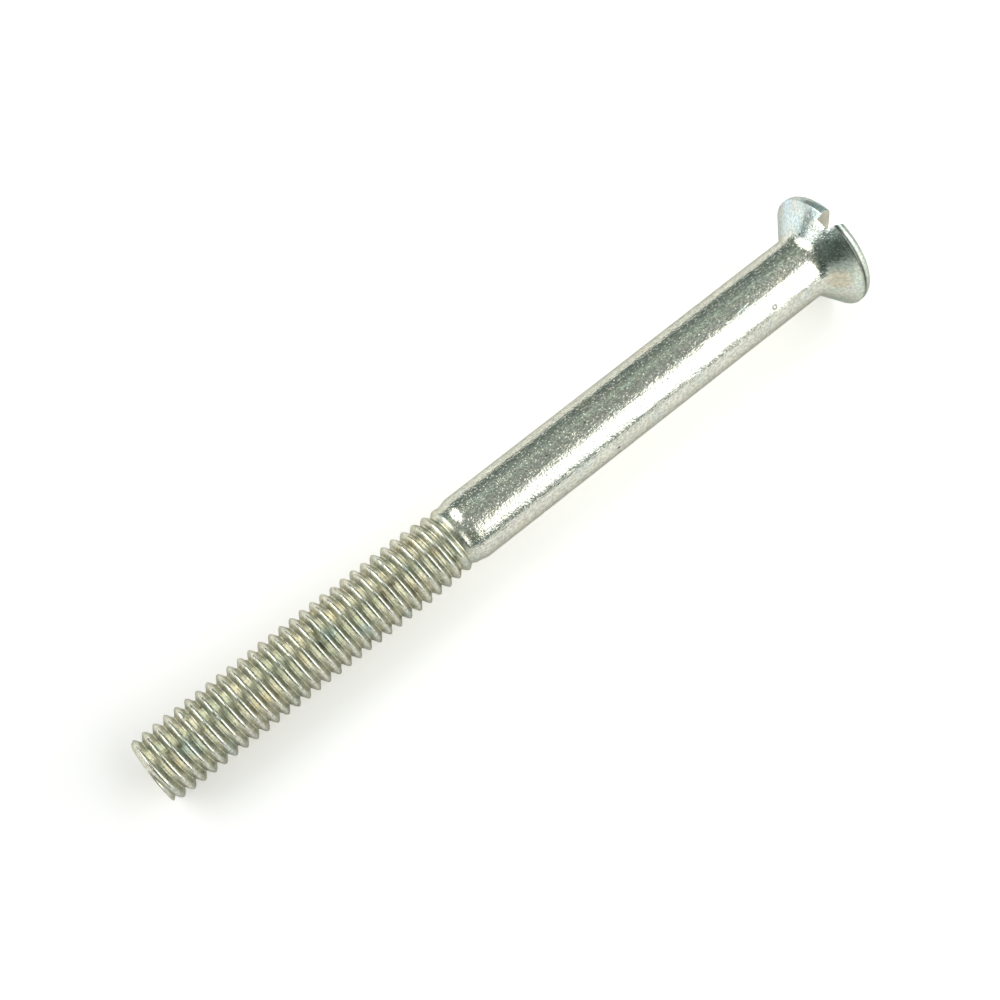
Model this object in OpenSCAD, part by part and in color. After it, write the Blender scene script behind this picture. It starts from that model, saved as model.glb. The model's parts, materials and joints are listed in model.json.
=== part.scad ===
// Plug screw: a long slotted machine screw with a raised countersunk head,
// the kind that draws a sink plug or waste fitting together.
// The screw is described upright, with its flat tip at height 0 and its head
// at the top, and is then laid down as it comes to rest: on the two corners
// of its slot and on the first full turn of its thread.

/* [Length] */
// Tip to the top of the rim's straight side
length = 68.95; // [55:0.05:90]

/* [Thread] */
// Diameter over the crests
thread_d = 5.92; // [4.8:0.02:7.2]
// Depth from crest to root
thread_depth = 0.6; // [0.4:0.01:0.72]
// Advance in one turn
pitch = 1; // [0.85:0.05:1.5]
// Length of the flat on each crest
crest_w = 0.13; // [0.08:0.01:0.2]
// Slope of each flank, in degrees from square to the axis
flank_angle = 30; // [25:1:32]
// Length from the tip to where the thread has run out
thread_length = 29.7; // [18:0.1:45]
// Plain edge between the tip's face and the first turn
tip_land = 0.06; // [0.04:0.02:0.2]
// Turns in which the last groove grows shallow
run_out = 0.75; // [0.5:0.25:2]
// Turns in which the last crests lose their height
crest_fade = 4; // [1:0.5:8]

/* [Shank] */
// Diameter of the plain shank
shank_d = 5.72; // [4.7:0.02:7]
// How far the neck between thread and shank lies below the shank
neck_step = 0.19; // [0.1:0.01:0.3]
// Length of the neck
neck_length = 0.3; // [0.2:0.1:6]
// Length in which the neck swells into the shank
neck_swell = 0.9; // [0.4:0.1:3]

/* [Head] */
// Diameter of the head
head_d = 10.48; // [8.5:0.01:12.6]
// Height of the rim's straight side
rim_height = 0.28; // [0.1:0.02:1]
// Radius of the round from the rim into the crown
rim_round = 0.7; // [0.2:0.05:1]
// Angle of the seat, side to side
seat_angle = 98; // [75:1:120]
// Radius of the hollow under the seat
seat_fillet = 1.5; // [0.2:0.05:2]
// Height of the crown above the rim's straight side
crown_rise = 1.2; // [1.1:0.05:2]

/* [Slot] */
// Width of the driver slot
slot_w = 1.65; // [1:0.05:2.4]
// Depth of the slot from the top of the crown
slot_depth = 1.9; // [1:0.05:3]

/* [Hidden] */

// Flats in one turn of the thread, and faces round the turned body
turn_flats = 32;
round_faces = 96;
// How far shapes run into each other or past each other
overlap = 0.2;
// The threaded end is this much slimmer than the neck that it runs into
core_gap = 0.02;
// Height that the thread keeps where it starts and stops
end_height = 0.02;

crest_r = thread_d / 2;
root_r = crest_r - thread_depth;
shank_r = shank_d / 2;
neck_r = shank_r - neck_step;
head_r = head_d / 2;
core_r = neck_r - core_gap;

// Thread section: half its width at the crest, and at the foot at full depth
half_crest = crest_w / 2;
half_foot = half_crest + thread_depth * tan(flank_angle);
// The crest starts at the tip and passes underneath after this part of a turn
under_turn = 7 / 8;
start_angle = -360 * under_turn;
first_crest = tip_land + half_crest;
steps = floor(turn_flats * (thread_length - first_crest - half_foot) / pitch);

// Neck and shank: the swell between them is a hollow and then a round, of one radius
neck_top = thread_length + neck_length;
swell_top = neck_top + neck_swell;
swell_mid = neck_top + neck_swell / 2;
swell_r = (pow(neck_swell, 2) + pow(neck_step, 2)) / (4 * neck_step);

// Seat: a cone from the shank to the rim, with a hollow at its foot
rim_foot = length - rim_height;
half_seat = seat_angle / 2;
seat_foot = rim_foot - (head_r - shank_r) / tan(half_seat);
seat_hollow = seat_fillet * tan(half_seat / 2);
shank_end = seat_foot - seat_hollow;

// Crown: a cap of a ball, which the round of the rim touches from inside where it ends
round_centre_r = head_r - rim_round;
crown_r =
    (pow(round_centre_r, 2) + pow(crown_rise, 2) - pow(rim_round, 2))
    / (2 * (crown_rise - rim_round));
crown_top = length + crown_rise;
crown_centre = crown_top - crown_r;
cap_r = round_centre_r * crown_r / (crown_r - rim_round);
slot_floor = crown_top - slot_depth;

// Rest: the foot of the rim touches at the slot's two corners, or on its round where
// the slot ends above it, and the crest touches where it first passes underneath
corner_r = slot_floor < rim_foot ? sqrt(pow(head_r, 2) - pow(slot_w / 2, 2)) : head_r;
touch = first_crest + pitch * under_turn - half_crest;
rest_tilt = atan2(corner_r - crest_r, rim_foot - touch);
axis_height = crest_r * cos(rest_tilt) - touch * sin(rest_tilt);
near_end = -root_r * sin(rest_tilt);
far_end = crown_centre * cos(rest_tilt) + sqrt(pow(crown_r, 2) - pow(slot_w / 2, 2));

// Height of the crest's middle at step i
function crest_z(i) = first_crest + pitch * i / turn_flats;
// Radius of the roots at step i: they climb to the core's radius at the last groove
function foot_r(i) =
    core_r + (root_r - core_r) * min(1, (steps - i) / (run_out * turn_flats));
// Radius of the crest at step i: it rises as fast as its lower flank clears the
// tip's face, and sinks over the last turns
function top_r(i) =
    let (
        faded_r = core_r + (crest_r - core_r) * min(1, (steps - i) / (crest_fade * turn_flats)),
        cleared_r = foot_r(i) + (crest_z(i) - first_crest) / tan(flank_angle)
    )
    max(foot_r(i) + end_height, min(faded_r, cleared_r));
function on_turn(i, r, z) =
    let (angle = start_angle + 360 * i / turn_flats)
    [r * cos(angle), r * sin(angle), z];

// Four points across the thread at step i: foot, crest, crest, foot
function section(i) =
    let (half_w = half_crest + (top_r(i) - foot_r(i)) * tan(flank_angle))
    [
        on_turn(i, foot_r(i), crest_z(i) - half_w),
        on_turn(i, top_r(i), crest_z(i) - half_crest),
        on_turn(i, top_r(i), crest_z(i) + half_crest),
        on_turn(i, foot_r(i), crest_z(i) + half_w)
    ];

function quad(a, b, c, d) = [[a, b, c], [a, c, d]];
// Triangles from one point to each edge of a line of points
function fan(a, line) = [for (k = [0:len(line) - 2]) [a, line[k], line[k + 1]]];

// The right-handed thread and its core, from the tip up into the neck.
// The four points of each step join to the next step's, and the upper foot
// joins to the lower foot one turn on. A ring closes each end.
module threaded_end() {
    function at(i, k) = 4 * i + k;
    function tip(i) = at(steps + 1, 0) + i % turn_flats;
    function end(i) = at(steps + 1, 0) + turn_flats + (i + turn_flats - steps) % turn_flats;
    end_z = thread_length + overlap;
    last = turn_flats - 1;
    stop = steps - turn_flats;

    points = concat(
        [for (i = [0:steps]) each section(i)],
        [for (i = [0:last]) on_turn(i, root_r, 0)],
        [for (i = [0:last]) on_turn(steps + i, core_r, end_z)]
    );
    thread = [
        for (i = [0:steps - 1], k = [0:2])
            each quad(at(i, k), at(i, k + 1), at(i + 1, k + 1), at(i + 1, k))
    ];
    roots = [
        for (i = [0:stop - 1])
            each quad(at(i, 3), at(i + turn_flats, 0), at(i + turn_flats + 1, 0), at(i + 1, 3))
    ];
    tip_band = [
        for (i = [0:last - 1])
            each quad(tip(i), at(i, 0), at(i + 1, 0), tip(i + 1))
    ];
    end_band = [
        for (i = [stop + 1:steps - 1])
            each quad(at(i, 3), end(i), end(i + 1), at(i + 1, 3))
    ];
    // Beside the thread's two ends, the bands meet its whole section
    tip_joint = fan(
        tip(last),
        [at(last, 0), at(turn_flats, 0), at(0, 3), at(0, 2), at(0, 1), at(0, 0), tip(0)]
    );
    end_joint = fan(
        end(stop + 1),
        [at(stop + 1, 3), at(stop, 3), at(steps, 0), at(steps, 1), at(steps, 2), at(steps, 3), end(stop)]
    );
    tip_face = [for (i = [0:last]) tip(i)];
    end_face = [for (i = [last:-1:0]) end(steps + i)];
    polyhedron(
        points,
        concat(thread, roots, tip_band, end_band, tip_joint, end_joint, [tip_face, end_face])
    );
}

// Half section of neck, shank and head: x is the radius, y the height
module turned_section() {
    difference() {
        polygon([
            [0, thread_length],
            [neck_r, thread_length],
            [neck_r, neck_top],
            [shank_r - neck_step / 2, swell_mid],
            [shank_r, swell_top],
            [shank_r, shank_end],
            [shank_r + seat_hollow * sin(half_seat), seat_foot + seat_hollow * cos(half_seat)],
            [head_r, rim_foot],
            [head_r, length],
            [0, length]
        ]);
        translate([neck_r + swell_r, neck_top])
            circle(swell_r);
        translate([shank_r + seat_fillet, shank_end])
            circle(seat_fillet);
    }
    // The outer half of the swell
    intersection() {
        translate([shank_r - swell_r, swell_top])
            circle(swell_r);
        translate([0, swell_mid])
            square([shank_r, swell_top - swell_mid]);
    }
    // The round of the rim, and the crown
    translate([round_centre_r, length])
        circle(rim_round);
    intersection() {
        translate([0, crown_centre])
            circle(crown_r);
        translate([0, rim_foot])
            square([cap_r, crown_top - rim_foot]);
    }
}

// The driver slot, sawn across the head
module slot() {
    translate([-head_r - overlap, -slot_w / 2, slot_floor])
        cube([head_d + 2 * overlap, slot_w, slot_depth + overlap]);
}

// The whole screw, laid down along X with its slot upright
module plug_screw() {
    color("silver")
        translate([-(near_end + far_end) / 2, 0, axis_height])
            rotate([0, 90 - rest_tilt, 0])
                union() {
                    threaded_end();
                    difference() {
                        rotate_extrude($fn = round_faces)
                            turned_section($fn = round_faces);
                        slot();
                    }
                }
}

plug_screw();
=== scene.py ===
# %% [markdown]
# # A long slotted screw
#
# This script dresses the imported model of a long machine screw with a raised countersunk head.
# The imported model is right in every size, but its thread has sharp edges and its metal is one
# flat grey. Here the same screw is worked out again as one fine closed surface, with the rounded
# crests, soft edges and small knocks of a real plated screw, and it gets a bright zinc finish.
#
# The first cell loads the imported model. Its bounds are kept, and the head's radius is read from them.

import json
import math

import bmesh
import bpy
import numpy as np
from mathutils import Matrix, Vector


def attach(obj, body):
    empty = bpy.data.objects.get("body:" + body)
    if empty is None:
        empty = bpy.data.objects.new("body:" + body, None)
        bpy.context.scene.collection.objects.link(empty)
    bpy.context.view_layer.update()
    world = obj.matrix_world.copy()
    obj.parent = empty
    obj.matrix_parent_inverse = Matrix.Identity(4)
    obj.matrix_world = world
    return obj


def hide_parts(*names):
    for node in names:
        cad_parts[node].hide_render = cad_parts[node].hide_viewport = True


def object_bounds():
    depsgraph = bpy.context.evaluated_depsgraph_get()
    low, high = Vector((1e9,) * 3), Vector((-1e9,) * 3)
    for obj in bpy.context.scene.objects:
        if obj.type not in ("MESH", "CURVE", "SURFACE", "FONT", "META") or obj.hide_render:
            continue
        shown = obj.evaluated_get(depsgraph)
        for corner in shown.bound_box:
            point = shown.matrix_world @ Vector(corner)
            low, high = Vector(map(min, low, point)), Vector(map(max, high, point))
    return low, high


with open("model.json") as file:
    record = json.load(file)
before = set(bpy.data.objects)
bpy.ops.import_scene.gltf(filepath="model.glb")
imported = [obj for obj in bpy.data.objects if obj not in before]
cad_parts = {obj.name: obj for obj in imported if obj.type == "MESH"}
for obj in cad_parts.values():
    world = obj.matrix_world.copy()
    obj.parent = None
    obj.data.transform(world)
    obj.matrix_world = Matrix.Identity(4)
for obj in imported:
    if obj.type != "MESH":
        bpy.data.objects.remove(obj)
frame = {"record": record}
cad_bounds = [list(corner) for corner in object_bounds()]
mounts = {mount["name"]: mount for mount in frame["record"]["mounts"]}
print("packed model from", cad_bounds[0], "to", cad_bounds[1])

# %% [markdown]
# ## The screw's own directions
#
# The screw lies on its head and on its thread, so its axis rises a little towards the head.
# Shapes are easiest to describe along that axis: a length from the tip, an angle round the axis
# and a radius, all in millimetres. The record's mounts say where the axis is. One function then
# turns such lengths, angles and radii into places in the scene.

# %% Axis, tip and placing
MM = 0.001
shank = mounts["shank"]
along = -Vector(shank["axis"]).normalized()
across = Vector((0, 1, 0))
down = across.cross(along)
axes = np.array([along, down, across])
thread_length = mounts["thread"]["dims"]["length_mm"]
tip = Vector(mounts["thread"]["pos_m"]) - along * (thread_length / 2 * MM)


def from_tip(mount):
    """Distance of a mount from the tip along the axis, in millimetres."""
    return (Vector(mount["pos_m"]) - tip).dot(along) / MM


def place(z, low, side):
    """Points in metres, from the length along the axis and the offsets downward and sideways."""
    z, low, side = np.broadcast_arrays(z, low, side)
    return np.array(tip) + np.stack([z, low, side], axis=-1) * MM @ axes


def place_round(z, radius, angle):
    """Points on circles round the axis: the angle starts at the bottom and turns right-handed."""
    return place(z, radius * np.cos(angle), radius * np.sin(angle))


def unplace(points):
    """The length along the axis and the offsets downward and sideways, from points in metres."""
    return np.moveaxis((points - np.array(tip)) @ axes.T / MM, -1, 0)


print("axis", tuple(round(x, 4) for x in along), "tip", tuple(round(x, 5) for x in tip))

# %% [markdown]
# ## The camera
#
# The camera looks steeply down on the screw from the side of the thread, close enough that the
# head looks a little smaller than it is. Its place and its target are given from the tip along
# the screw, and its height leans to one side of upright. It is then rolled about its own line of
# sight, so that the screw runs up to the right across the view.

# %% Camera
CAMERA_FROM_TIP = 11.387
CAMERA_HEIGHT = 125.38
CAMERA_LEAN = math.radians(17.75)
TARGET_FROM_TIP = 34.189
TARGET_SIDE = 0.125
CAMERA_ROLL = math.radians(37.947)
LENS = 57.4

lean_up = -down * math.cos(CAMERA_LEAN) - across * math.sin(CAMERA_LEAN)
lean_side = across * math.cos(CAMERA_LEAN) - down * math.sin(CAMERA_LEAN)
eye = tip + (along * CAMERA_FROM_TIP + lean_up * CAMERA_HEIGHT) * MM
target = tip + (along * TARGET_FROM_TIP + lean_side * TARGET_SIDE) * MM
back = (eye - target).normalized()
level = (along - back * along.dot(back)).normalized()
upright = back.cross(level)
right = level * math.cos(CAMERA_ROLL) - upright * math.sin(CAMERA_ROLL)
top = level * math.sin(CAMERA_ROLL) + upright * math.cos(CAMERA_ROLL)

camera = bpy.data.objects.new("camera", bpy.data.cameras.new("camera"))
camera.data.lens = LENS
camera.data.clip_start = 0.005
camera.matrix_world = Matrix.Translation(eye) @ Matrix((right, top, back)).transposed().to_4x4()
bpy.context.scene.collection.objects.link(camera)
bpy.context.scene.camera = camera
print("camera", round((eye - target).length / MM, 1), "mm from its target")

# %% [markdown]
# ## Rings and columns
#
# The surface is a net of rings along the screw and columns round it. Every ring has the same
# number of columns, so that neighbouring parts of the screw share their edges point for point.
# A few columns in the middle of each side are the slot's: on the shank they are spaced like the
# others, and towards the head they spread until the outer two run exactly along the slot's walls.

# %% Columns
LOBE_STEPS = 29
BAND_STEPS = 6
COLUMNS = 2 * (2 * LOBE_STEPS + BAND_STEPS)
SLOT_W = 1.65
even_band = math.pi * BAND_STEPS / COLUMNS
half_slot = SLOT_W / 2


def half_ring(band):
    """Angles from one side of a ring to the other, where the slot's columns span -band to band."""
    lobe = np.linspace(band, math.pi / 2, LOBE_STEPS + 1)
    slot = np.arcsin(np.linspace(-1, 1, BAND_STEPS + 1) * math.sin(band))
    return np.concatenate([-lobe[::-1], slot[1:-1], lobe])


def ring(band):
    """Angles of a whole ring: the lower half, and then the upper half, which mirrors it."""
    half = half_ring(band)
    return np.concatenate([half, math.pi - half[-2:0:-1]])


print(COLUMNS, "columns")

# %% [markdown]
# ## The rolled thread
#
# The thread was rolled into the blank between two ridged dies. The metal flowed up into the
# crests, so they are rounded and not quite even, and the grooves are pressed in with rounded
# bottoms. Later knocks have nicked some crests. At the tip the rod was simply sheared off across
# the thread, which left a slanting edge and, on one side, a thin lip. At the other end the groove
# runs out in most of a turn into a slim neck, and the crests sink over the last six, slowly at
# first.
#
# A rolled surface could be swept with a screw modifier, but then its ends would be left open and
# ragged. Here the net's rings themselves climb like the thread, one pitch in each turn, and its
# radius is a formula. Where a ring would pass the tip, or a plane in the neck, it is held there,
# and the points that fall together are merged, which leaves a clean flat end.

# %% Thread sizes
PITCH = 1.0
CREST_R = mounts["thread"]["dims"]["r_mm"]
SHANK_R = shank["dims"]["r_mm"]
THREAD_DEPTH = 0.6
NECK_STEP = 0.19
ROOT_R = CREST_R - THREAD_DEPTH
NECK_R = SHANK_R - NECK_STEP
NECK_SWELL = (29.75, 30.75)
HALF_CREST = 0.12
FLANK = math.tan(math.radians(30))
CREST_ROUND = 0.24
ROOT_ROUND = 0.1
CREST_FADE = (24.0, 29.8)
GROOVE_END = (29.0, 29.8)
print("thread", round(2 * CREST_R, 2), "mm over its crests,", round(2 * ROOT_R, 2), "mm over its roots")

# %% Nicks along the crest
NICKS = 46
NICKED_TURNS = (0.4, 28.6)
NICK_DEPTHS = (0.03, 0.13)
NICK_WIDTHS = (0.010, 0.026)
KNOCKS_TURN = [4.43, 24.27]
KNOCKS_DEPTH = [0.17, 0.15]
KNOCKS_WIDTH = [0.022, 0.02]
WAVE_DEPTH = 0.012
LONG_WAVES = 9.1
SHORT_WAVES = 23.7
random = np.random.default_rng(11)
nick_turn = np.append(random.uniform(*NICKED_TURNS, NICKS), KNOCKS_TURN)
nick_depth = np.append(random.uniform(*NICK_DEPTHS, NICKS), KNOCKS_DEPTH)
nick_width = np.append(random.uniform(*NICK_WIDTHS, NICKS), KNOCKS_WIDTH)


def wear(turn):
    """How far the crest has sunk at a place along it, counted in turns from the tip.

    Slow waves stand for the metal that did not quite fill the dies, and each nick is a bell shape.
    """
    waves = WAVE_DEPTH * (2 + np.sin(LONG_WAVES * turn) + np.sin(SHORT_WAVES * turn + 2))
    bells = nick_depth * np.exp(-(((turn[..., None] - nick_turn) / nick_width) ** 2))
    return waves + bells.max(axis=-1)


print(len(nick_turn), "nicks, the deepest", nick_depth.max(), "mm")

# %% Thread radius
SHEARED_R = 2.67
SHEAR_RISE = 0.6
TIP_ROUND = 0.06
LIP_R = 2.6
LIP_LENGTH = 0.3
LIP_MIDDLE = math.radians(-95)
LIP_SPREAD = math.radians(75)


def smooth_min(a, b, width):
    """The smaller of a and b, with a round corner where they are within that width.

    There it is lower by a quarter of the width times the square of how near they are, from 0 to 1.
    """
    h = np.maximum(width - np.abs(a - b), 0) / width
    return np.minimum(a, b) - h * h * width / 4


def share(x, low, high):
    """How far x is from low to high, from 0 to 1."""
    return np.clip((x - low) / (high - low), 0, 1)


def neck_radius(z):
    """The neck swells into the shank along half a wave."""
    return NECK_R + (SHANK_R - NECK_R) * (1 - np.cos(math.pi * share(z, *NECK_SWELL))) / 2


def sheared(z, angle):
    """The highest and the lowest radius that the shear left near the tip.

    The highest is a slant that rises from the tip's edge. The lowest is the lip: a quarter of an
    ellipse along the axis, which fades out to both sides as the root of a cosine.
    """
    around = np.abs((angle - LIP_MIDDLE + math.pi) % (2 * math.pi) - math.pi)
    fade = np.cos(math.pi / 2 * np.minimum(around / LIP_SPREAD, 1))
    lip = np.sqrt(np.maximum(1 - (z / LIP_LENGTH) ** 2, 0))
    return SHEARED_R + SHEAR_RISE * z, ROOT_R + (LIP_R - ROOT_R) * np.sqrt(fade) * lip


def thread_radius(z, angle):
    """The radius at a length z and an angle.

    The crest passes the bottom at every whole pitch and moves one pitch in each turn. From the
    nearest crest's middle the height falls along a straight flank, with round corners at the
    crest and at the root. Crest and root are each as high as their place on the screw makes them.
    """
    turn = z / PITCH - angle / (2 * math.pi)
    crest_z = z - (turn - np.round(turn)) * PITCH
    root_z = z - (turn - np.floor(turn) - 0.5) * PITCH
    flank = (HALF_CREST + THREAD_DEPTH * FLANK - np.abs(z - crest_z)) / FLANK
    height = smooth_min(flank, THREAD_DEPTH, CREST_ROUND)
    height = -smooth_min(-height, 0.0, ROOT_ROUND) / THREAD_DEPTH
    full = CREST_R - wear(crest_z / PITCH)
    crest = full + (neck_radius(z) - full) * share(crest_z, *CREST_FADE) ** 2
    root = ROOT_R + (neck_radius(z) - ROOT_R) * share(root_z, *GROOVE_END)
    highest, lowest = sheared(z, angle)
    rolled = root + (crest - root) * np.clip(height, 0, 1)
    return np.maximum(np.minimum(rolled, highest), lowest)


one_turn = thread_radius(np.linspace(9.5, 10.5, 5), 0.0)
print("radius from one root to the next", np.round(one_turn, 2))

# %% Thread net
THREAD_END = 30.3
CLOSE = np.array([0.035, 0.075, 0.13, 0.22, 0.32, 0.38, 0.44])
# Rows from one crest to the next, as shares of a pitch: close together at the crest and the root
profile = np.concatenate([[0.0], CLOSE, [0.5], 1 - CLOSE[::-1]])
turns = int(THREAD_END / PITCH) + 2
rows = (np.arange(-1, turns - 1)[:, None] + profile).ravel()[:, None]
thread_angles = ring(even_band)
thread_z = PITCH * (rows + thread_angles / (2 * math.pi))
thread_z = np.clip(thread_z, 0, THREAD_END)
thread_r = thread_radius(thread_z, thread_angles)
# The tip's edge is rounded by a quarter of a circle
edge = np.clip(1 - thread_z / TIP_ROUND, 0, 1)
thread_r = thread_r - TIP_ROUND * (1 - np.sqrt(1 - edge * edge))
thread_points = place_round(thread_z, thread_r, thread_angles)
print("thread net", thread_points.shape, "radius", thread_r.min(), "to", thread_r.max())

# %% [markdown]
# ## Tip, neck, shank and seat
#
# Below the thread, the sheared tip is a flat face. Above it, the neck swells softly into the
# plain shank, and the shank passes through a wide hollow into the cone that seats in a
# countersink. These are turned shapes: one line of radius against length, carried round the axis.
# A modifier could spin that line, but here the columns have to shift on the way up, so that they
# meet the slot's walls.

# %% Turned line
SLOT_FLOOR = from_tip(mounts["driver_slot"])
HEAD_R = cad_bounds[1][1] / MM
HALF_SEAT = math.radians(49)
SEAT_FILLET = 1.5
HOLLOW_STEPS = 24
HOLLOW_EASE = 0.7
SWELL_ROWS = 8
SHANK_ROWS = 60
CONE_ROWS = 5
half_cone = (HEAD_R - SHANK_R) / math.tan(HALF_SEAT) / 2
seat_foot = from_tip(mounts["seat"]) - half_cone
rim_foot = from_tip(mounts["seat"]) + half_cone


def cone_radius(z):
    """The cone widens evenly up to the rim's foot."""
    return HEAD_R - (rim_foot - z) * math.tan(HALF_SEAT)


def seat_hollow():
    """A hollow that leaves the shank along the axis and ends along the cone.

    Its slope turns slowly at both ends and fastest in the middle, as a sine wave on a straight
    line. It starts and ends where a plain arc would, and it is the sum of its small steps.
    """
    reach = SEAT_FILLET * math.tan(HALF_SEAT / 2)
    part = np.linspace(0, 1, HOLLOW_STEPS + 1)
    turn = HALF_SEAT * (part - HOLLOW_EASE * np.sin(2 * math.pi * part) / (2 * math.pi))
    middle = (turn[1:] + turn[:-1]) / 2
    step = reach * math.sin(HALF_SEAT) / np.sin(middle).sum()
    hollow_z = seat_foot - reach + step * np.append(0, np.cos(middle).cumsum())
    return hollow_z, SHANK_R + step * np.append(0, np.sin(middle).cumsum())


swell_z = np.linspace(THREAD_END, NECK_SWELL[1], SWELL_ROWS)
hollow_z, hollow_r = seat_hollow()
shank_z = np.linspace(swell_z[-1], hollow_z[0], SHANK_ROWS + 2)[1:-1]
cone_z = np.linspace(hollow_z[-1], SLOT_FLOOR, CONE_ROWS + 1)[1:]
line_z = np.concatenate([swell_z, shank_z, hollow_z, cone_z])
shank_r = np.full(SHANK_ROWS, SHANK_R)
line_r = np.concatenate([neck_radius(swell_z), shank_r, hollow_r, cone_radius(cone_z)])

floor_r = line_r[-1]
floor_band = math.asin(half_slot / floor_r)
spread = share(line_z, swell_z[-1], SLOT_FLOOR)
skin_angles = np.array([ring(even_band + (floor_band - even_band) * part) for part in spread])
skin_points = place_round(line_z[:, None], line_r[:, None], skin_angles)
print("shank net", skin_points.shape, "slot floor at", round(SLOT_FLOOR, 2))

# %% Tip face
TIP_RINGS = 7
edge_r = thread_r.min(axis=0, where=thread_z == 0, initial=CREST_R)
tip_share = np.linspace(1, 0, TIP_RINGS + 1)[:, None]
tip_points = place_round(0 * tip_share, tip_share * edge_r, thread_angles)
print("tip face", tip_points.shape)

# %% [markdown]
# ## The slotted head
#
# The head has a short straight rim that rounds over into a crown, a cap of a ball, and a sawn
# slot. The slot could be cut with a Boolean, but the cut leaves long thin faces that spoil the
# reflections. Instead, the head is laid out in pieces that meet along the slot's edges: two sides
# of the rim, two lobes of the crown, two walls and a floor. Each lobe's rows run along the slot,
# from its wall out to the rim's round, and each row is as long as the circle allows there.

# %% Crown and rim sizes
RIM_H = 0.28
RIM_ROUND = 0.7
CROWN_RISE = 1.2
EDGE_ROWS = 5
RIM_ROWS = 3
ROUND_ROWS = 9
rim_top = rim_foot + RIM_H
round_centre = HEAD_R - RIM_ROUND
crown_r = (round_centre**2 + CROWN_RISE**2 - RIM_ROUND**2) / (2 * (CROWN_RISE - RIM_ROUND))
crown_centre = rim_top + CROWN_RISE - crown_r
cap_r = round_centre * crown_r / (crown_r - RIM_ROUND)


def rise_line():
    """Radius against length from the slot's floor to the crown: cone, straight rim and round."""
    edge_z = np.linspace(SLOT_FLOOR, rim_foot, EDGE_ROWS)
    straight = np.concatenate([edge_z, np.linspace(rim_foot, rim_top, RIM_ROWS + 1)[1:]])
    turn = np.linspace(0, math.acos((cap_r - round_centre) / RIM_ROUND), ROUND_ROWS + 1)[1:]
    rise_z = np.concatenate([straight, rim_top + RIM_ROUND * np.sin(turn)])
    straight_r = np.minimum(cone_radius(straight), HEAD_R)
    rise_r = np.concatenate([straight_r, round_centre + RIM_ROUND * np.cos(turn)])
    return rise_z, rise_r


rise_z, rise_r = rise_line()
print("crown's ball", round(crown_r, 2), "mm, cap", round(cap_r, 2), "mm")

# %% Rim, crown, walls and floor
CROWN_COLUMNS = 44
sweep = np.linspace(-1, 1, CROWN_COLUMNS + 1)


def crown_height(low, side):
    """The crown's height over the tip, on a ball.

    It is the ball's middle plus the root of its radius squared less the offsets squared.
    """
    return crown_centre + np.sqrt(crown_r**2 - low**2 - side**2)


def rim_side(sign):
    """The cone's edge, the rim and its round on one side of the slot, from the slot's floor up."""
    bands = np.arcsin(half_slot / rise_r)
    angles = np.array([np.linspace(band, math.pi - band, 2 * LOBE_STEPS + 1) for band in bands])
    return place_round(rise_z[:, None], rise_r[:, None], sign * angles)


def lobe(sign):
    """The crown on one side of the slot: rows along the slot, each as long as the circle there."""
    angles = np.linspace(math.asin(half_slot / cap_r), math.pi / 2, LOBE_STEPS + 1)
    side = cap_r * np.sin(angles)[:, None]
    low = sweep * cap_r * np.cos(angles)[:, None]
    return place(crown_height(low, side), low, sign * side)


def wall(sign):
    """One wall of the slot: each row follows the crown's curve, less and less towards the floor."""
    low = sweep * np.sqrt(rise_r**2 - half_slot**2)[:, None]
    part = ((rise_z - SLOT_FLOOR) / (rise_z[-1] - SLOT_FLOOR))[:, None]
    crown = crown_height(sweep * math.sqrt(cap_r**2 - half_slot**2), half_slot)
    return place(SLOT_FLOOR + part * (crown - SLOT_FLOOR), low, sign * half_slot)


def slot_bottom():
    """The flat floor of the slot, which ends on the cone at both sides."""
    side = np.linspace(-half_slot, half_slot, BAND_STEPS + 1)[:, None]
    low = sweep * np.sqrt(floor_r**2 - side**2)
    return place(SLOT_FLOOR, low, side)


head_nets = [rim_side(1), rim_side(-1), lobe(1), lobe(-1)]
slot_nets = [wall(1), wall(-1), slot_bottom()]
print(len(head_nets) + len(slot_nets), "nets in the head")

# %% [markdown]
# The saw left a burr in the slot's upper end, a slanting fillet at the foot of one wall. It is
# made by moving points sideways, by an amount that depends only on where a point is, so that the
# nets that meet there still meet.

# %% Burr in the slot
BURR_SIDE = 0.5
BURR_H = 0.85
BURR_BELOW = 0.4
BURR_FROM = (3.4, 4.5)
BURR_OUTSIDE = 0.6


def add_burr(net):
    """Move points towards the slot's middle: most at the foot of one wall, at the slot's upper end."""
    z, low, side = unplace(net)
    grows = share(z, SLOT_FLOOR - BURR_BELOW, SLOT_FLOOR)
    height = np.minimum(grows, 1 - share(z, SLOT_FLOOR, SLOT_FLOOR + BURR_H))
    inside = (half_slot - side) / SLOT_W
    outside = 1 + (half_slot + side) / BURR_OUTSIDE
    near_wall = np.clip(np.minimum(inside, outside), 0, 1)
    return place(z, low, side + BURR_SIDE * height * near_wall * share(-low, *BURR_FROM))


skin_points = add_burr(skin_points)
head_nets = [add_burr(net) for net in head_nets]
slot_nets = [add_burr(net) for net in slot_nets]
print("burr", BURR_SIDE, "mm wide and", BURR_H, "mm high")

# %% [markdown]
# ## One closed mesh
#
# The nets are gathered into one mesh. Points that lie together are merged, which closes every
# seam, and the faces are then turned outward. The thread's net is special: going once round, it
# has climbed by one pitch, so its last column joins its first one a turn further up. The slot's
# faces get a number of their own, because they are finished another way.

# %% Gather the nets
MERGE = 2e-7


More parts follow.
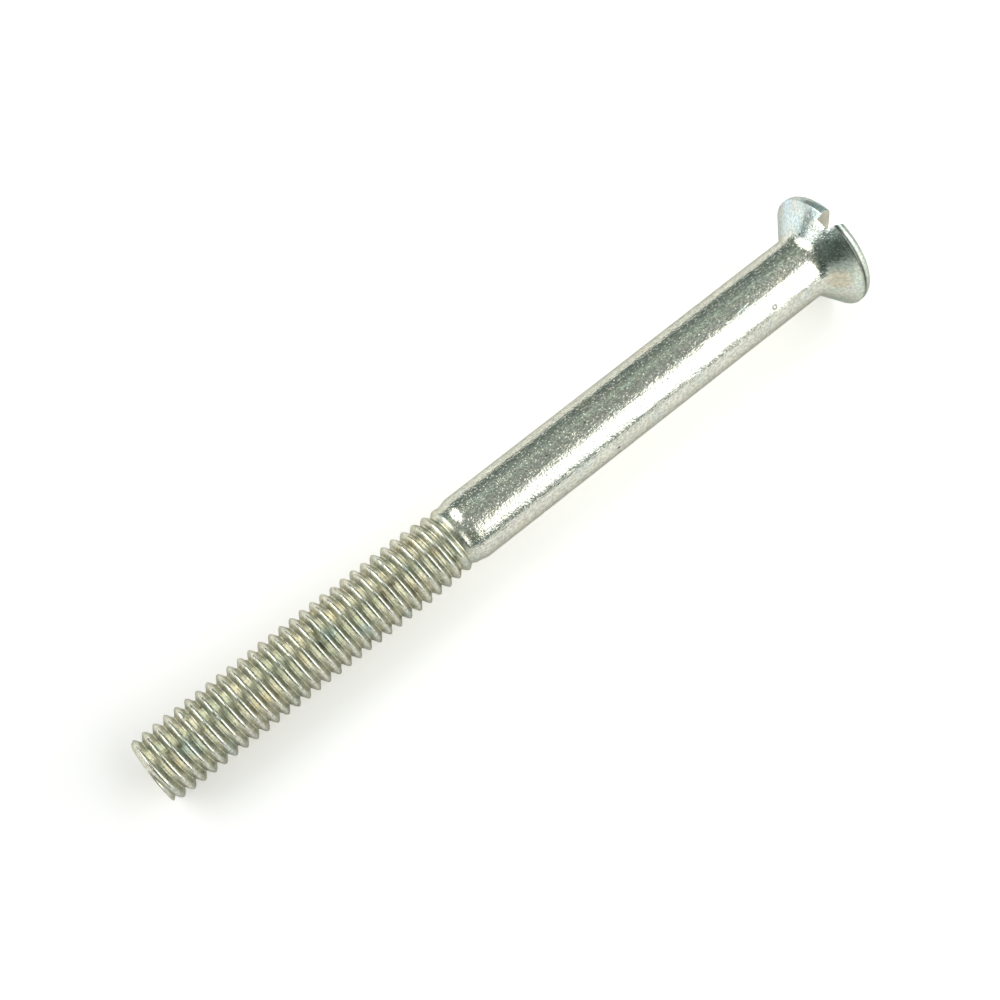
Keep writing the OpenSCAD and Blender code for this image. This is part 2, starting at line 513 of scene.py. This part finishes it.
def net_faces(row_count, column_count, joined=False, climb=0):
    """Four corners of each face. A joined net closes on itself, so many rows further up."""
    number = np.arange(row_count * column_count).reshape(row_count, column_count)
    if joined:
        first = number[np.minimum(np.arange(row_count) + climb, row_count - 1), :1]
        number = np.hstack([number, first])
    corners = [number[:-1, :-1], number[:-1, 1:], number[1:, 1:], number[1:, :-1]]
    return np.stack(corners, axis=-1).reshape(-1, 4)


def gather(nets):
    """One list of points, one of faces and one of finishes, from nets, joinings and finishes."""
    points, faces, finishes, count = [], [], [], 0
    for net, joining, finish in nets:
        points.append(net.reshape(-1, 3))
        faces.append(net_faces(*net.shape[:2], **joining) + count)
        finishes.append(np.full(len(faces[-1]), finish))
        count += net.shape[0] * net.shape[1]
    return np.concatenate(points), np.concatenate(faces), np.concatenate(finishes)


PLATED, SAWN = 0, 1
closed = {"joined": True}
nets = [(thread_points, {"joined": True, "climb": len(profile)}, PLATED)]
nets += [(skin_points, closed, PLATED), (tip_points, closed, PLATED)]
nets += [(net, {}, PLATED) for net in head_nets] + [(net, {}, SAWN) for net in slot_nets]
points, faces, finishes = gather(nets)
mesh = bpy.data.meshes.new("plug_screw_plated")
mesh.from_pydata(points.tolist(), [], faces.tolist())
mesh.polygons.foreach_set("material_index", finishes.astype(np.int32))
shape = bmesh.new()
shape.from_mesh(mesh)
bmesh.ops.remove_doubles(shape, verts=shape.verts, dist=MERGE)
bmesh.ops.recalc_face_normals(shape, faces=shape.faces)
loose = [edge for edge in shape.edges if not edge.link_faces]
bmesh.ops.delete(shape, geom=loose, context="EDGES")
open_edges = sum(not edge.is_manifold for edge in shape.edges)
shape.to_mesh(mesh)
shape.free()
mesh.polygons.foreach_set("use_smooth", np.ones(len(mesh.polygons), bool))
screw = bpy.data.objects.new("plug_screw_plated", mesh)
bpy.context.scene.collection.objects.link(screw)
print(len(mesh.polygons), "faces,", open_edges, "open edges")

# %% [markdown]
# ## Soft edges on the head
#
# No edge of a real screw is perfectly sharp, and the soft edge is what catches the light. A Bevel
# modifier rounds the edges that carry a weight. The weight goes to the head's edges whose two
# faces meet at a clear angle, so the thread, which is already round, is left alone. The rim's
# foot gets the full weight, because forging leaves it rounder than the saw leaves the slot.

# %% Bevel
EDGE_ROUND = 0.15
AT_SLOT = 0.4
SHARP = math.radians(28)
SAME_LENGTH = 0.01


def vertex_places():
    """The mesh's points in metres, one row each."""
    spots = np.empty(len(mesh.vertices) * 3)
    mesh.vertices.foreach_get("co", spots)
    return spots.reshape(-1, 3)


def weigh_sharp_edges(mesh):
    """Weigh the head's edges whose two faces turn by more than the sharp angle.

    The rim's foot gets the whole weight and the other edges a share. All else gets none.
    """
    normals = np.empty(len(mesh.polygons) * 3)
    mesh.polygons.foreach_get("normal", normals)
    normals = normals.reshape(-1, 3)
    corner_count = np.empty(len(mesh.polygons), int)
    mesh.polygons.foreach_get("loop_total", corner_count)
    corner_face = np.repeat(np.arange(len(mesh.polygons)), corner_count)
    corner_edge = np.empty(len(mesh.loops), int)
    mesh.loops.foreach_get("edge_index", corner_edge)
    pairs = corner_face[np.argsort(corner_edge, kind="stable")].reshape(-1, 2)
    turned = (normals[pairs[:, 0]] * normals[pairs[:, 1]]).sum(axis=1) < math.cos(SHARP)
    lengths = unplace(vertex_places())[0]
    ends = np.empty(len(mesh.edges) * 2, int)
    mesh.edges.foreach_get("vertices", ends)
    end_lengths = lengths[ends.reshape(-1, 2)]
    to_round = turned & (end_lengths.min(axis=1) > SLOT_FLOOR - SAME_LENGTH)
    at_foot = np.abs(end_lengths - rim_foot).max(axis=1) < SAME_LENGTH
    weight = mesh.attributes.new("bevel_weight_edge", "FLOAT", "EDGE")
    weight.data.foreach_set("value", np.where(to_round, np.where(at_foot, 1, AT_SLOT), 0))
    return int(to_round.sum())


print(weigh_sharp_edges(mesh), "edges to round")
bevel = screw.modifiers.new("soft edges", "BEVEL")
bevel.limit_method = "WEIGHT"
bevel.width = EDGE_ROUND * MM
bevel.segments = 3

# %% [markdown]
# ## Where the finish changes
#
# The dies left the thread duller than the drawn shank, and handling has polished its crests
# again. The material has to know which is which. It could tell from a point's place, but that
# takes many nodes. It is simpler to let every point of the mesh carry a few numbers: how much it
# belongs to the thread, how near it is to a crest, how much it belongs to the seat's cone and to
# the rim, and how much it lies on the dark line at the rim's foot, a painted dark reflection of its
# rounded edge.

# %% Attributes
THREAD_FINISH = (29.3, 30.2)
POLISHED = (CREST_R - 0.13, CREST_R - 0.03)
SEAT_FINISH = (seat_foot - 0.2, seat_foot + 0.5)
RIM_FINISH = (rim_foot - 0.5, rim_foot + 0.1)
LINE_ABOVE = 0.13
LINE_EDGE = (0.09, 0.17)
LINE_STARTS = (-0.5, 0.5)
LINE_FADES = (-2.0, 1.0)
LINE_FADED = 0.65


def mark(name, values):
    """Give every point of the mesh a number from 0 to 1 under this name."""
    mesh.attributes.new(name, "FLOAT", "POINT").data.foreach_set("value", values.astype(np.float32))
    print(name, "covers", round(100 * values.mean(), 1), "percent of the points")


z, low, side = unplace(vertex_places())
radius = np.hypot(low, side)
mark("threaded", 1 - share(z, *THREAD_FINISH))
mark("crest", share(radius, *POLISHED))
mark("seat", share(z, *SEAT_FINISH))
mark("rim", share(z, *RIM_FINISH))
# The painted dark reflection line lies on one side of the screw and is fainter towards the bottom
from_line = 1 - share(np.abs(z - rim_foot - LINE_ABOVE), *LINE_EDGE)
mark("painted_foot_line", from_line * share(-side, *LINE_STARTS) * (1 - LINE_FADED * share(low, *LINE_FADES)))

# %% [markdown]
# ## Tools for a finish
#
# A finish is a net of nodes. Written out one by one, such a net is long and hard to read, so a few
# short functions make the kinds of node that are used again and again: a noise, a change of
# range, a sum or a product, a mix of two colours, and a spot that fades with distance.

# %% Node helpers
def node(tree, kind, inputs=(), **settings):
    """One shader node. Inputs go to sockets by name or number, as values or as other outputs."""
    made = tree.nodes.new(kind)
    for name, value in settings.items():
        setattr(made, name, value)
    for socket, value in dict(inputs).items():
        if isinstance(value, bpy.types.NodeSocket):
            tree.links.new(value, made.inputs[socket])
        else:
            made.inputs[socket].default_value = value
    return made


def noise(tree, spots, scale, detail=3.0, roughness=0.5, stretch=(1, 1, 1), turn=0.0):
    """Noise with so many features a metre, stretched and turned about the vertical."""
    inputs = {"Vector": spots, "Scale": stretch, "Rotation": (0, 0, turn)}
    turned = node(tree, "ShaderNodeMapping", inputs)
    inputs = {"Vector": turned.outputs[0], "Scale": scale, "Detail": detail, "Roughness": roughness}
    return node(tree, "ShaderNodeTexNoise", inputs).outputs["Fac"]


def remap(tree, value, low, high, to_low=0.0, to_high=1.0):
    """A value moved from one range to another and held within it."""
    inputs = {"Value": value, "From Min": low, "From Max": high, "To Min": to_low, "To Max": to_high}
    return node(tree, "ShaderNodeMapRange", inputs).outputs["Result"]


def math_node(tree, operation, a, b):
    """One operation on two values, such as a sum or a product."""
    return node(tree, "ShaderNodeMath", {0: a, 1: b}, operation=operation).outputs[0]


def blend(tree, factor, a, b):
    """One colour mixed into another."""
    made = node(tree, "ShaderNodeMix", {"Factor": factor, "A": a, "B": b}, data_type="RGBA")
    return made.outputs["Result"]


def ramp(tree, value, stops):
    """A colour for each value, from stops of a place and a colour."""
    made = node(tree, "ShaderNodeValToRGB", {"Fac": value})
    elements = made.color_ramp.elements
    while len(elements) < len(stops):
        elements.new(0.5)
    for element, (spot, colour) in zip(elements, stops):
        element.position = spot
        element.color = colour
    return made.outputs["Color"]


def near(tree, spots, spot, reach, most=0.75):
    """How close a place is to one spot: most at half the reach, and nothing beyond the reach."""
    inputs = {0: spots, 1: tuple(spot.tolist())}
    distance = node(tree, "ShaderNodeVectorMath", inputs, operation="DISTANCE").outputs["Value"]
    return remap(tree, distance, reach * MM, reach / 2 * MM, 0.0, most)


print("node helpers ready")

# %% [markdown]
# ## Colours of the zinc plate
#
# The screw is steel with a thin bright coat of zinc. The coat mirrors the room, so most of what
# one sees on it is the lamps and the floor. What makes it look like zinc is small: a warm pale
# grey, thin films that tint it teal, olive and gold, a fine mottle of crystals, some stain in the
# thread and a few dark specks. The cone under the head has larger films and a few painted reflections.
#
# An image could be wrapped round the screw, but it would fit no other length. Here every colour
# is worked out from a point's own place, by noises with so many features a metre, so the finish
# holds from every side. At a glancing edge a metal loses its own colour, and the edge tint keeps
# the outline a little darker than the face.

# %% Plate colours
BARE = (0.83, 0.82, 0.725, 1)
TEAL = (0.50, 0.68, 0.70, 1)
OLIVE = (0.60, 0.62, 0.45, 1)
GOLD = (0.82, 0.70, 0.40, 1)
LILAC = (0.70, 0.69, 0.72, 1)
TAN = (0.66, 0.58, 0.43, 1)
PALE_GREEN = (0.74, 0.82, 0.70, 1)
PALE_TEAL = (0.74, 0.88, 0.93, 1)
PAINTED_DARK_REFLECTION = (0.40, 0.45, 0.38, 1)
STAIN = (0.24, 0.19, 0.09, 1)
DULL = (0.82, 0.80, 0.665, 1)
# Near black, for real specks and for painted shade and painted dark reflection
SOOT_AND_PAINTED_SHADE = (0.04, 0.045, 0.04, 1)
EDGE_TINT = (0.52, 0.52, 0.5, 1)
# How much of the tints shows, how much more of them in the thread, and how bright the mottle stays
TINTED = 0.22
TINTED_THREAD = 0.14
MOTTLE = 0.74
print("bare zinc", BARE[:3], "dull zinc", DULL[:3])

# %% [markdown]
# Only a few painted reflections and the pits are put in places of their own. Each painted
# reflection is a patch on the seat's cone, given by its radius and its angle, with a colour and a
# reach in millimetres: three are painted dark reflections, and one is a painted tan reflection of
# the floor. The pit on the shank is a dark spot with a bright middle: painted shade of a pit that
# has no depth in the mesh, with the plain zinc colour in its middle.

# %% Painted reflections and pits
# Painted reflections on the cone: three dark patches and one tan patch
reflection_r = np.array([4.7, 4.3, 3.5, 3.7])
reflection_z = rim_foot - (HEAD_R - reflection_r) / math.tan(HALF_SEAT)
reflection_spots = place_round(reflection_z, reflection_r, np.radians([212, 226, 222, 246]))
PAINTED_REFLECTIONS = [
    (reflection_spots[0], PAINTED_DARK_REFLECTION, 1.5),
    (reflection_spots[1], PAINTED_DARK_REFLECTION, 1.3),
    (reflection_spots[2], PAINTED_DARK_REFLECTION, 1.1),
    (reflection_spots[3], TAN, 1.3),
]
# The pit's dark ring is painted shade of a pit with no depth in the mesh
pit_with_painted_shade = place(61.45, -2.07, -1.97)
speck = place(44.2, -0.7, -2.77)
PAINTED_PIT_AND_SPECK = [
    (pit_with_painted_shade, SOOT_AND_PAINTED_SHADE, 0.33),
    (pit_with_painted_shade, BARE, 0.15),
    (speck, SOOT_AND_PAINTED_SHADE, 0.18),
]
print(len(PAINTED_REFLECTIONS), "large films and", len(PAINTED_PIT_AND_SPECK), "dots")

# %% Plate colour
zinc = bpy.data.materials.new("zinc_plate")
zinc.use_nodes = True
tree = zinc.node_tree
shader = tree.nodes["Principled BSDF"]
shader.inputs["Metallic"].default_value = 1.0
shader.inputs["Specular Tint"].default_value = EDGE_TINT
spots = node(tree, "ShaderNodeTexCoord").outputs["Object"]
threaded = node(tree, "ShaderNodeAttribute", attribute_name="threaded").outputs["Fac"]
crest = node(tree, "ShaderNodeAttribute", attribute_name="crest").outputs["Fac"]
seat = node(tree, "ShaderNodeAttribute", attribute_name="seat").outputs["Fac"]
rim = node(tree, "ShaderNodeAttribute", attribute_name="rim").outputs["Fac"]
painted_foot_line = node(tree, "ShaderNodeAttribute", attribute_name="painted_foot_line").outputs["Fac"]

clouds = noise(tree, spots, 420.0, detail=3.0, roughness=0.55)
tints = ramp(tree, clouds, [(0.33, TEAL), (0.45, OLIVE), (0.56, BARE), (0.7, GOLD)])
pressed = math_node(tree, "MULTIPLY", threaded, remap(tree, crest, 0.0, 1.0, 1.0, 0.5))
worn = blend(tree, pressed, BARE, DULL)
tint_share = math_node(tree, "MULTIPLY", threaded, TINTED_THREAD)
tint_share = math_node(tree, "ADD", tint_share, TINTED)
colour = blend(tree, tint_share, worn, tints)
print(len(tree.nodes), "nodes for the metal and its tints")

# %% [markdown]
# The cone under the head has the strongest films: bluish on one side of the screw and greenish on
# the other, in patches, with pale scuffs across them. The few painted reflections lie on top.

# %% Films on the cone
FILMS_CHANGE = (-0.004, 0.004)
SCUFFED = 0.4
sideways = node(tree, "ShaderNodeSeparateXYZ", {0: spots}).outputs["Y"]
film = blend(tree, remap(tree, sideways, *FILMS_CHANGE), PALE_GREEN, PALE_TEAL)
patches = remap(tree, noise(tree, spots, 500.0, detail=3.0), 0.36, 0.56, 0.2, 0.95)
colour = blend(tree, math_node(tree, "MULTIPLY", patches, seat), colour, film)
scuffs = remap(tree, noise(tree, spots, 900.0, detail=4.0, roughness=0.65), 0.54, 0.64)
scuffs = math_node(tree, "MULTIPLY", scuffs, math_node(tree, "MULTIPLY", seat, SCUFFED))
colour = blend(tree, scuffs, colour, LILAC)
# Painted dark and tan reflections on the cone
for spot, colour_there, reach in PAINTED_REFLECTIONS:
    colour = blend(tree, near(tree, spots, spot, reach), colour, colour_there)
print(len(tree.nodes), "nodes with the films")

# %% [markdown]
# Then come the small dark things: stain in the thread, specks everywhere, the mottle of the zinc's
# crystals, the painted dark reflection line at the rim's foot, the pit's painted shade and the speck on
# the shank.

# %% Stain, specks and mottle
STAINED = 0.6
SPECKED = 0.85
LINED = 0.88
DOTTED = 0.9
stain = remap(tree, noise(tree, spots, 650.0, detail=2.0), 0.66, 0.74)
stain = math_node(tree, "MULTIPLY", stain, math_node(tree, "MULTIPLY", threaded, STAINED))
colour = blend(tree, stain, colour, STAIN)
cells = node(tree, "ShaderNodeTexVoronoi", {"Vector": spots, "Scale": 900.0, "Randomness": 1.0})
specks = remap(tree, cells.outputs["Distance"], 0.09, 0.04)
colour = blend(tree, math_node(tree, "MULTIPLY", specks, SPECKED), colour, SOOT_AND_PAINTED_SHADE)
grain = noise(tree, spots, 6000.0, detail=1.0, roughness=0.6)
mottled = remap(tree, noise(tree, spots, 5000.0, detail=2.0, stretch=(0.7, 1, 1)), 0.4, 0.6)
darker = node(tree, "ShaderNodeHueSaturation", {"Color": colour, "Value": MOTTLE}).outputs[0]
colour = blend(tree, mottled, darker, colour)
# Painted dark reflection at the rim's foot
colour = blend(tree, math_node(tree, "MULTIPLY", painted_foot_line, LINED), colour, SOOT_AND_PAINTED_SHADE)
# The pit's painted shade with plain zinc in its middle, and the dark speck
for spot, colour_there, reach in PAINTED_PIT_AND_SPECK:
    colour = blend(tree, near(tree, spots, spot, reach, DOTTED), colour, colour_there)
tree.links.new(colour, shader.inputs["Base Color"])
print(len(tree.nodes), "nodes for the plate's colour")

# %% [markdown]
# ## Gloss and small relief of the plate
#
# The pressed grooves of the thread and the rim are a little rougher than the drawn shank. Over the
# whole screw run fine grain, shallow ripples, lines that the drawing left along the shank, short
# slanting ridges, and small raised nodules of zinc. They are too small for the mesh, so they are
# bump, and each height is a real one, from 0.008 to 0.02 mm. The relief is weaker on the thread
# and on the head, where the plate is smoother.

# %% Plate gloss
ROUGHNESS = (0.15, 0.23)
ROUGHER_THREAD = 0.13
ROUGHER_RIM = 0.15
rough = remap(tree, grain, 0.3, 0.7, *ROUGHNESS)
rough = math_node(tree, "ADD", rough, math_node(tree, "MULTIPLY", pressed, ROUGHER_THREAD))
rough = math_node(tree, "ADD", rough, math_node(tree, "MULTIPLY", rim, ROUGHER_RIM))
tree.links.new(rough, shader.inputs["Roughness"])
print("roughness from", ROUGHNESS[0], "to", round(ROUGHNESS[1] + ROUGHER_RIM, 2))

# %% Plate relief
SMOOTHER = 0.24
drawn = noise(tree, spots, 5000.0, detail=2.0, stretch=(0.06, 1, 1))
ridges = noise(tree, spots, 3800.0, detail=1.0, stretch=(0.15, 1, 1), turn=0.6)
ridges = remap(tree, ridges, 0.55, 0.7)
ripple = noise(tree, spots, 1500.0, detail=2.0)
nodules = remap(tree, noise(tree, spots, 6500.0, detail=0.0), 0.66, 0.76)
bump = None
depth = remap(tree, math_node(tree, "ADD", seat, threaded), 0.0, 1.0, 1.0, SMOOTHER)
relief = [(ripple, 2e-5), (drawn, 8e-6), (ridges, 8e-6), (grain, 1.4e-5), (nodules, 1.5e-5)]
for height, most in relief:
    inputs = {"Height": height, "Strength": 1.0, "Distance": math_node(tree, "MULTIPLY", depth, most)}
    if bump:
        inputs["Normal"] = bump
    bump = node(tree, "ShaderNodeBump", inputs).outputs["Normal"]
tree.links.new(bump, shader.inputs["Normal"])
print(len(tree.nodes), "nodes in the whole plate")

# %% [markdown]
# ## The sawn slot
#
# The slot was sawn before the screw was plated, so its walls are duller and show the saw's lines.
# It could be one more patch of the plate's material, but a material of its own keeps both simple.
# The lines are a noise that is stretched along one direction.

# %% Sawn slot
SAWN_DARK = (0.52, 0.50, 0.42, 1)
SAWN_PALE = (0.66, 0.62, 0.50, 1)
sawn = bpy.data.materials.new("sawn_zinc")
sawn.use_nodes = True
tree = sawn.node_tree
shader = tree.nodes["Principled BSDF"]
shader.inputs["Metallic"].default_value = 1.0
shader.inputs["Roughness"].default_value = 0.45
spots = node(tree, "ShaderNodeTexCoord").outputs["Object"]
clouds = noise(tree, spots, 900.0)
colour = ramp(tree, clouds, [(0.35, SAWN_DARK), (0.65, SAWN_PALE)])
tree.links.new(colour, shader.inputs["Base Color"])
marks = noise(tree, spots, 7000.0, stretch=(1, 1, 0.1))
bump = node(tree, "ShaderNodeBump", {"Height": marks, "Strength": 1.0, "Distance": 0.00002})
tree.links.new(bump.outputs["Normal"], shader.inputs["Normal"])

mesh.materials.append(zinc)
mesh.materials.append(sawn)
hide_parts("plug_screw")
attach(screw, "root")
print("materials:", [material.name for material in mesh.materials])

# %% [markdown]
# ## The floor
#
# The screw lies on white paper. If lamps alone had to make the paper white, they would drown the
# soft shadow. So its colour stays plain, and it also glows a little towards the camera, which
# brings it to white and keeps the shadow. The glow is weakest near the screw and towards its tip,
# where the shadow is deepest, so there it paints shadow onto the paper on top of the real one. It
# is strongest far away, so that no edge of the paper shows. In the metal's mirror the paper glows
# too, less on the side of the right softbox and least at the tip, which paints shade into the
# paper's reflection there.

# %% Floor
FLOOR_SIZE = 1.6
PAPER = (0.8, 0.788, 0.82, 1)
GLOW_TINT = (1, 0.985, 0.87, 1)
# Low glow at the tip and close beside the screw is painted shadow on the paper
GLOW_WITH_PAINTED_SHADOW = (0.28, 0.475)
GLOW_ALONG = (-0.035, 0.01)
PAINTED_SHADOW_ASIDE = (0.006, 0.02)
GLOW_PAST_PAINTED_SHADOW = 0.15
FAR = (0.06, 0.3)
FAR_GLOW = 0.6
MIRRORED_GLOW_PAINTED_SHADE = (0.02, 0.24)
ACROSS_GLOW = 0.42
MIRRORED_ACROSS = (-0.01, 0.01)
floor_mesh = bpy.data.meshes.new("floor")
half = FLOOR_SIZE / 2
corners = [(-half, -half, 0), (half, -half, 0), (half, half, 0), (-half, half, 0)]
floor_mesh.from_pydata(corners, [], [(0, 1, 2, 3)])
floor = bpy.data.objects.new("floor", floor_mesh)
bpy.context.scene.collection.objects.link(floor)

paper = bpy.data.materials.new("white paper")
paper.use_nodes = True
tree = paper.node_tree
plain = tree.nodes["Principled BSDF"]
plain.inputs["Base Color"].default_value = PAPER
plain.inputs["Roughness"].default_value = 0.9
plain.inputs["Specular IOR Level"].default_value = 0.0
path = node(tree, "ShaderNodeLightPath")
spots = node(tree, "ShaderNodeTexCoord").outputs["Object"]
spot = node(tree, "ShaderNodeSeparateXYZ", {0: spots}).outputs
# Painted shadow: less glow towards the tip and close beside the screw
glow_and_painted_shadow = remap(tree, spot["X"], *GLOW_ALONG, *GLOW_WITH_PAINTED_SHADOW)
glow_past_painted_shadow = remap(tree, math_node(tree, "ABSOLUTE", spot["Y"], 0.0), *PAINTED_SHADOW_ASIDE, 0.0, GLOW_PAST_PAINTED_SHADOW)
away = node(tree, "ShaderNodeVectorMath", {0: spots}, operation="LENGTH").outputs["Value"]
far = remap(tree, away, *FAR, 0.0, FAR_GLOW)
glow_and_painted_shadow = math_node(tree, "ADD", glow_and_painted_shadow, math_node(tree, "ADD", glow_past_painted_shadow, far))
seen = math_node(tree, "MULTIPLY", path.outputs["Is Camera Ray"], glow_and_painted_shadow)
# Painted shade in the mirror: less mirrored glow on the right softbox's side, least at the tip
mirrored_painted_shade = remap(tree, spot["X"], *GLOW_ALONG, *MIRRORED_GLOW_PAINTED_SHADE)
mirrored_glow_and_painted_shade = remap(tree, spot["Y"], *MIRRORED_ACROSS, mirrored_painted_shade, ACROSS_GLOW)
mirrored = math_node(tree, "MULTIPLY", path.outputs["Is Glossy Ray"], mirrored_glow_and_painted_shade)
strength = math_node(tree, "ADD", seen, mirrored)
glow = node(tree, "ShaderNodeEmission", {"Color": GLOW_TINT, "Strength": strength})
both = node(tree, "ShaderNodeAddShader", {0: plain.outputs[0], 1: glow.outputs[0]})
tree.links.new(both.outputs[0], tree.nodes["Material Output"].inputs["Surface"])
floor_mesh.materials.append(paper)
print("floor", FLOOR_SIZE, "m square")

# %% [markdown]
# ## The lamps
#
# Bright metal is lit by what it mirrors, so a bare bulb would show as one hard point. Here the
# lamps are large, soft and placed for what they draw on the screw. The right softbox draws the long
# white band on the shank. The left one draws one side of each crest, the spot on the neck and the
# bright patch under the head, and it ends where the shank would begin to mirror it. A thin greenish
# tube draws a faint line along the shank. A small softbox beyond the head lights the edge of the
# crown. Each strength is how bright the lamp's face looks, where 1 is white.

# %% Lamps
LAMP_DISTANCE = 0.8


def softbox(name, azimuth, elevation, size, strength, roll=0, shape="ELLIPSE", colour=(1, 1, 1)):
    """A flat lamp that faces the screw, at an azimuth and an elevation in degrees.

    The size is its width and height in metres, the roll turns it about its own middle, and the
    strength is how bright its face looks.
    """
    lamp = bpy.data.lights.new(name, "AREA")
    lamp.shape = shape
    lamp.size, lamp.size_y = size
    lamp.color = colour
    area = size[0] * size[1] * (math.pi / 4 if shape == "ELLIPSE" else 1)
    lamp.energy = strength * math.pi * area
    turn = math.radians(azimuth)
    rise = math.radians(elevation)
    way = Vector((math.cos(rise) * math.cos(turn), math.cos(rise) * math.sin(turn), math.sin(rise)))
    box = bpy.data.objects.new(name, lamp)
    facing = way.to_track_quat("Z", "Y").to_matrix() @ Matrix.Rotation(math.radians(roll), 3, "Z")
    box.matrix_world = Matrix.Translation(way * LAMP_DISTANCE) @ facing.to_4x4()
    box.visible_camera = False
    bpy.context.scene.collection.objects.link(box)


softbox("right softbox", -48, 33.5, (1.0, 0.9), 2.1, roll=35)
softbox("left softbox", 134, 37.5, (1.0, 0.74), 2.4, roll=-25, colour=(1, 0.97, 0.95))
softbox("head softbox", 8, 47, (0.5, 0.4), 1.15)
softbox("tube", 78, 54, (1.8, 0.03), 1.3, shape="RECTANGLE", colour=(0.75, 1, 0.8))

# %% [markdown]
# ## The room around
#
# What is neither lamp nor floor is the room: a dim grey-green that gets lighter overhead. One
# corner beyond the tip is darker than the rest, and the cone of the head mirrors it as a dark
# patch. The room could be built from walls, but a colour for each direction does the same with no
# objects. The camera itself sees white there.

# %% Surroundings
WALL = (0.138, 0.19, 0.18, 1)
CEILING = (0.33, 0.37, 0.35, 1)
CORNER = (0.11, 0.14, 0.125, 1)
WALL_TO_CEILING = (0.1, 0.95)
CORNER_WAY = (-0.94, -0.34, 0.06)
CORNER_EDGE = (0.58, 0.92)
world = bpy.data.worlds.new("studio")
world.use_nodes = True
tree = world.node_tree
room = tree.nodes["Background"]
way = node(tree, "ShaderNodeTexCoord").outputs["Generated"]
height = node(tree, "ShaderNodeSeparateXYZ", {0: way}).outputs["Z"]
walls = blend(tree, remap(tree, height, *WALL_TO_CEILING), WALL, CEILING)
inputs = {0: way, 1: CORNER_WAY}
corner = node(tree, "ShaderNodeVectorMath", inputs, operation="DOT_PRODUCT").outputs["Value"]
walls = blend(tree, remap(tree, corner, *CORNER_EDGE), walls, CORNER)
tree.links.new(walls, room.inputs["Color"])
path = node(tree, "ShaderNodeLightPath")
white = node(tree, "ShaderNodeBackground", {"Color": (1, 1, 1, 1), "Strength": 1.0})
seen = {0: path.outputs["Is Camera Ray"], 1: room.outputs[0], 2: white.outputs[0]}
mix = node(tree, "ShaderNodeMixShader", seen)
tree.links.new(mix.outputs[0], tree.nodes["World Output"].inputs["Surface"])
bpy.context.scene.world = world
bpy.context.scene.view_settings.view_transform = "Standard"
print("room and view set")
